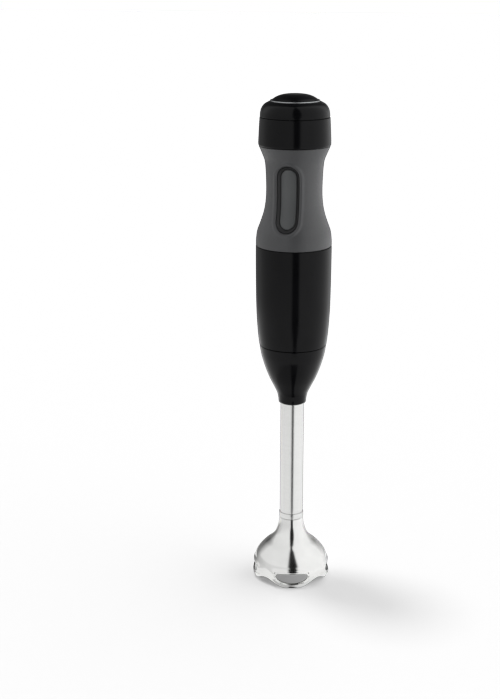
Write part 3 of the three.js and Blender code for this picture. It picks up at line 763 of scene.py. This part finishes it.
def make_tube():
    """The straight steel tube of the arm."""
    bottom, top, outer = TUBE
    wall, rows = 0.8, 40
    outside = [(outer, z) for z in np.linspace(bottom, top, rows)]
    loop = [(outer - wall / 2, bottom), *outside, (outer - wall, top), (outer - wall, bottom)]
    corners = {1: 0.25, rows: 0.25}
    tube = revolve("steel_tube", soften(loop, corners), 128)
    place(tube, "arm", ["arm_tube"], "brushed_steel_arm", TUBE_STEEL)


def make_joint():
    """The sleeve that joins tube and bell; only its bead shows between them."""
    bottom, top, bead = JOINT
    low, high = BELL[1] + GAP, TUBE[0] - GAP + 0.2
    bore, spigot = 6.5, 8.1
    loop = [
        (bore, (bottom + top) / 2), (bore, bottom), (spigot, bottom), (spigot, low), (bead, low),
        (bead, high), (spigot, high), (spigot, top), (bore, top),
    ]
    corners = {1: 0.3, 2: 0.5, 4: 0.4, 5: 0.3, 7: 0.5, 8: 0.3}
    joint = revolve("joint_bead", soften(loop, corners), 128)
    place(joint, "arm", ["joint_sleeve"], "brushed_steel_arm", TUBE_STEEL)


# ---------------------------------------------------------------- bell guard

WINDOW_WIDTH = 26.9
WINDOW_BOTTOM = 4.4
WINDOW_TOP = 12.9


def bezier(*controls, steps=8):
    """Points along a Bezier curve, without its last one."""
    points = []
    for i in range(steps):
        left = [np.array(c, float) for c in controls]
        while len(left) > 1:
            left = [p + (q - p) * i / steps for p, q in zip(left, left[1:])]
        points.append(tuple(left[0]))
    return points


def window_outline():
    """Slightly arched top edge, rounded top corners and a bottom edge like half of an ellipse, as (x, z)."""
    half, top, bottom = WINDOW_WIDTH / 2, WINDOW_TOP, WINDOW_BOTTOM
    shoulder = (half, top - 3.2)
    right = bezier((0, top), (half * 0.6, top), (half - 2.6, top - 0.6))
    right += bezier((half - 2.6, top - 0.6), (half, top - 0.8), shoulder)
    right += bezier(shoulder, (half - 0.3, bottom + 2.2), (half * 0.55, bottom), (0, bottom), steps=16)
    left = [(-x, z) for x, z in reversed(right[1:])]
    return right + [(0, bottom)] + left


def from_lobe(x, y):
    """Angle from the middle of the nearest lobe, in radians."""
    quarter = math.pi / 2
    angle = np.arctan2(y, x) - LOBE_TURN
    return angle - quarter * np.round(angle / quarter)


def make_bell():
    """The bell: four lobes with a window each, and a rim that arches up between them."""
    wall = 1.2
    lobe_out, arch_up = 1.8, 5.5
    lip_out, sink = 0.35, 0.45  # the pressed lip round each window, and how far the sheet sinks at its edge
    outer = smooth(BELL_CURVE, 12)
    inner = [p for p in inset(smooth(BELL_CURVE, 5), wall)[::-1] if p[1] > 4]
    rim = BELL_CURVE[0][0] - 2.2
    loop = [(BELL_CURVE[0][0] - 1.1, 0), *outer, *inner, (rim, 2.5), (rim, 0)]
    corners = {1: 0.5, len(outer): 0.35, len(outer) + 1: 0.3, len(loop) - 1: 0.35}
    outline = window_outline()

    def warp(x, y, z):
        radius = np.hypot(x, y)
        angle = from_lobe(x, y)
        away = np.abs(angle)
        lobe = 1 - smoothstep(away, 0.35, 0.75)
        bulge = lobe_out * lobe * smoothstep(z, 0, 6) * (1 - smoothstep(z, 10, 17))
        across = radius * np.sin(angle)
        edge = distance_to_polygon(across, z, outline)
        inside = (np.abs(across) < WINDOW_WIDTH / 2) & (z > WINDOW_BOTTOM) & (z < WINDOW_TOP)
        outside = np.arange(len(z))[:, None] < len(outer) + 8
        lip = lip_out * bump(edge, 1.5, 0.8) - sink * (1 - smoothstep(edge, 0, 0.9))
        lip = np.where(inside, -sink, lip)
        arch = arch_up * smoothstep(away, 0.2, math.pi / 4) * (1 - smoothstep(z, 0, 18))
        scale = 1 + (bulge + np.where(outside, lip, 0)) / radius
        return x * scale, y * scale, z + arch

    bell = revolve("bell_shell", soften(loop, corners), 320, warp=warp, sharp=40)
    cutters = []
    for i in range(4):
        cutter = prism("window_cutter", outline, -40, -20)
        cutters.append(turned(cutter, LOBE_TURN + i * math.pi / 2))
    carve(bell, *cutters, sharp=40)
    place(bell, "arm", ["bell_guard"], "brushed_steel_arm", BELL_STEEL)


# ---------------------------------------------------------------- blade


def make_blade():
    """Two swept arms, one tip bent up and one down, ground thin along the leading edge."""
    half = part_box("blade")[1][0] / MM
    middle, thickness, root = 10.3, 1.2, 11.0
    sweep, tip_up, tip_down = 3.2, 3.4, -1.6
    columns, rows = 81, 13
    xs = np.linspace(-half, half, columns)
    vs = np.linspace(-0.5, 0.5, rows)
    x = np.repeat(xs[:, None], rows, axis=1)
    v = np.repeat(vs[None, :], columns, axis=0)
    out = np.abs(x) / half
    side = np.sign(x)
    taper = 1 - 0.55 * smoothstep(out, 0.3, 1)
    y = root * v * taper + side * sweep * smoothstep(out, 0.3, 1)
    lift = np.where(side > 0, tip_up, tip_down) * smoothstep(out, 0.42, 0.9)
    leading = smoothstep(v * side, 0.18, 0.5) * smoothstep(out, 0.25, 0.4)
    edge = thickness * (1 - 0.85 * leading)
    under = middle + lift - thickness / 2
    top_side = np.stack([x, y, under + edge], axis=-1)
    low_side = np.stack([x, y, under], axis=-1)
    vertices = np.concatenate([top_side.reshape(-1, 3), low_side.reshape(-1, 3)])
    offset = columns * rows
    faces = []
    for i in range(columns - 1):
        for j in range(rows - 1):
            a, b, c, d = i * rows + j, (i + 1) * rows + j, (i + 1) * rows + j + 1, i * rows + j + 1
            faces += [(a, b, c, d), (offset + d, offset + c, offset + b, offset + a)]
        for j in (0, rows - 1):
            a, b = i * rows + j, (i + 1) * rows + j
            faces.append((a, a + offset, b + offset, b))
    for i in (0, columns - 1):
        for j in range(rows - 1):
            a, b = i * rows + j, i * rows + j + 1
            faces.append((a, b, b + offset, a + offset))
    blade = build("ground_blade", vertices, faces, sharp=25)
    hub, below, above = 2.3, 5, 16
    hole = revolve("blade_hole", [(0, below), (hub, below), (hub, above), (0, above)], 32, closed=False)
    carve(blade, hole, sharp=25)
    place(blade, "drive", ["blade"], "polished_blade_steel", BLADE_STEEL)


# ---------------------------------------------------------------- studio

CAMERA_AZIMUTH = 16
CAMERA_PITCH = 16.485
CAMERA_DISTANCE = 1.0742
CAMERA_LENS = 67.79
AIM_HEIGHT = 0.1992
SIDE_SHIFT = 0.0349  # how far left of the object the camera stands, m

# The sky that shiny surfaces see, in zones one above another. Each zone's stops are (degrees, brightness):
# 0 is GAP_TURN degrees right of the camera's side, where a black gap draws the dark line down the object.
GAP_TURN = 5
DEEP_LIGHT = [(-180, 0.5), (-20, 0.5), (-12, 0.02), (12, 0.02), (20, 0.62), (90, 0.75), (180, 0.5)]
FLOOR_LIGHT = [(-180, 0.86), (0, 0.82), (180, 0.86)]
BELL_LIGHT = [(-180, 0.86), (-90, 0.84), (-9, 0.82), (-5, 0.01), (5, 0.01), (9, 0.9), (90, 0.92), (180, 0.86)]
ARM_LIGHT = [
    (-180, 0.88), (-90, 0.84), (-14, 0.84), (-8.5, 0.02), (8.5, 0.02), (14, 0.99), (90, 1), (180, 0.88),
]
SIDE_LIGHT = [
    (-180, 0.1), (-147, 0.24), (-128, 0.5), (-90, 0.68), (-40, 0.7), (-13, 0.72), (-8, 0.01), (8, 0.01),
    (13, 0.9), (60, 0.94), (110, 0.96), (130, 0.8), (147, 0.46), (180, 0.1),
]
HIGH_LIGHT = [
    (-180, 0.02), (-155, 0.08), (-125, 0.76), (-90, 0.8), (-18, 0.82), (-12, 0.01), (12, 0.01), (18, 0.9),
    (90, 0.96), (120, 0.9), (150, 0.08), (180, 0.02),
]
SKY_STRENGTH = 1.2
LIGHT_ZONES = [  # stops, and the heights in degrees between which the zone below gives way to it
    (FLOOR_LIGHT, -50, -44), (BELL_LIGHT, -35, -31), (ARM_LIGHT, -25.5, -23.5), (SIDE_LIGHT, -20, -14),
    (HIGH_LIGHT, -3, 12),
]
# The sky that lights matt surfaces: one near the level, and another above and below it.
LEVEL_SCATTER = [
    (-180, 0.9), (-110, 0.8), (-50, 0.35), (0, 0.1), (30, 1), (60, 4.2), (130, 5), (180, 1.5),
]
OTHER_SCATTER = [(-180, 0.6), (-50, 0.4), (0, 0.3), (90, 0.65), (180, 0.7)]


def make_camera():
    azimuth, pitch = math.radians(CAMERA_AZIMUTH), math.radians(CAMERA_PITCH)
    back = Vector((
        math.sin(azimuth) * math.cos(pitch), -math.cos(azimuth) * math.cos(pitch), math.sin(pitch),
    ))
    right = Vector((math.cos(azimuth), math.sin(azimuth), 0))
    data = bpy.data.cameras.new("camera")
    data.sensor_width = 36
    data.lens = CAMERA_LENS
    camera = bpy.data.objects.new("camera", data)
    bpy.context.collection.objects.link(camera)
    camera.location = Vector((0, 0, AIM_HEIGHT)) + back * CAMERA_DISTANCE - right * SIDE_SHIFT
    camera.rotation_mode = "QUATERNION"
    camera.rotation_quaternion = (-back).to_track_quat("-Z", "Y")
    bpy.context.scene.camera = camera


def ramp(nodes, links, value, stops):
    """A grey ramp. stops are (degrees, brightness); degrees to the camera's right are positive."""
    node = nodes.new("ShaderNodeValToRGB")
    elements = node.color_ramp.elements
    while len(elements) > 1:
        elements.remove(elements[-1])
    for i, (degrees, level) in enumerate(stops):
        place_on_ramp = degrees / 360 + 0.5
        element = elements[0] if i == 0 else elements.new(place_on_ramp)
        element.position = place_on_ramp
        element.color = (level, level, level, 1)
    links.new(value, node.inputs["Fac"])
    return node.outputs["Color"]


def make_studio():
    """Soft light all round with a black gap near the camera's side, and a small lamp behind and above."""
    lamp = bpy.data.lights.new("top_light", "AREA")
    lamp.shape = "DISK"
    lamp.size = 0.36
    lamp.energy = 13
    light = bpy.data.objects.new("top_light", lamp)
    bpy.context.collection.objects.link(light)
    light.location = (-0.45, 0.2, 2.2)
    light.rotation_mode = "QUATERNION"
    light.rotation_quaternion = (Vector((0, 0, 0.15)) - light.location).to_track_quat("-Z", "Y")
    light.visible_glossy = False

    world = bpy.data.worlds.new("studio")
    world.use_nodes = True
    nodes, links = world.node_tree.nodes, world.node_tree.links
    direction = nodes.new("ShaderNodeTexCoord").outputs["Generated"]
    facing = nodes.new("ShaderNodeVectorRotate")
    facing.rotation_type = "Z_AXIS"
    facing.inputs["Angle"].default_value = math.radians(90 - CAMERA_AZIMUTH - GAP_TURN)
    links.new(direction, facing.inputs["Vector"])
    parts = nodes.new("ShaderNodeSeparateXYZ")
    links.new(facing.outputs["Vector"], parts.inputs["Vector"])
    angle = nodes.new("ShaderNodeMath")
    angle.operation = "ARCTAN2"
    links.new(parts.outputs["Y"], angle.inputs[0])
    links.new(parts.outputs["X"], angle.inputs[1])
    turn = nodes.new("ShaderNodeMath")
    turn.operation = "MULTIPLY_ADD"
    turn.inputs[1].default_value = 1 / (2 * math.pi)
    turn.inputs[2].default_value = 0.5
    links.new(angle.outputs[0], turn.inputs[0])

    def sky(stops, strength):
        shader = nodes.new("ShaderNodeBackground")
        shader.inputs["Strength"].default_value = strength
        links.new(ramp(nodes, links, turn.outputs[0], stops), shader.inputs["Color"])
        return shader.outputs[0]

    def blend(lower, upper, start, end):
        """Changes from one shader to another as the direction climbs from start to end degrees."""
        climb = nodes.new("ShaderNodeMapRange")
        climb.interpolation_type = "SMOOTHSTEP"
        climb.inputs["From Min"].default_value = math.sin(math.radians(start))
        climb.inputs["From Max"].default_value = math.sin(math.radians(end))
        links.new(parts.outputs["Z"], climb.inputs["Value"])
        mixed = nodes.new("ShaderNodeMixShader")
        links.new(climb.outputs["Result"], mixed.inputs[0])
        links.new(lower, mixed.inputs[1])
        links.new(upper, mixed.inputs[2])
        return mixed.outputs[0]

    reflected = sky(DEEP_LIGHT, SKY_STRENGTH)
    for stops, start, end in LIGHT_ZONES:
        reflected = blend(reflected, sky(stops, SKY_STRENGTH), start, end)
    scattered = blend(sky(OTHER_SCATTER, 1.0), sky(LEVEL_SCATTER, 1.0), -30, -6)
    scattered = blend(scattered, sky(OTHER_SCATTER, 1.0), 5, 38)
    white = nodes.new("ShaderNodeBackground")
    white.inputs["Color"].default_value = (1, 1, 1, 1)
    path = nodes.new("ShaderNodeLightPath")
    by_gloss = nodes.new("ShaderNodeMixShader")
    links.new(path.outputs["Is Glossy Ray"], by_gloss.inputs[0])
    links.new(scattered, by_gloss.inputs[1])
    links.new(reflected, by_gloss.inputs[2])
    by_camera = nodes.new("ShaderNodeMixShader")
    links.new(path.outputs["Is Camera Ray"], by_camera.inputs[0])
    links.new(by_gloss.outputs[0], by_camera.inputs[1])
    links.new(white.outputs[0], by_camera.inputs[2])
    links.new(by_camera.outputs[0], nodes["World Output"].inputs["Surface"])
    bpy.context.scene.world = world
    bpy.context.scene.view_settings.view_transform = "Standard"


def make_floor():
    """White paper under the object, which only catches its shadow."""
    mesh = bpy.data.meshes.new("floor")
    reach = 12
    corners = [(-reach, -reach, 0), (reach, -reach, 0), (reach, reach, 0), (-reach, reach, 0)]
    mesh.from_pydata(corners, [], [(0, 1, 2, 3)])
    look = Look("floor_paper", (0.93, 0.93, 0.93), 0.8, sockets={"Specular IOR Level": 0.1})
    look.tint(look.noise((3, 3, 3)), (0.915, 0.915, 0.915))
    mesh.materials.append(look.material)
    floor = bpy.data.objects.new("floor", mesh)
    bpy.context.collection.objects.link(floor)
    floor.is_shadow_catcher = True
    floor.visible_glossy = False


make_camera()
paint_frame()
make_cap()
make_disc()
make_ring()
make_band()
make_gland()
make_grip()
make_bezel()
make_button()
make_springs()
make_housing()
make_collar()
make_tube()
make_joint()
make_bell()
make_blade()
make_floor()
make_studio()
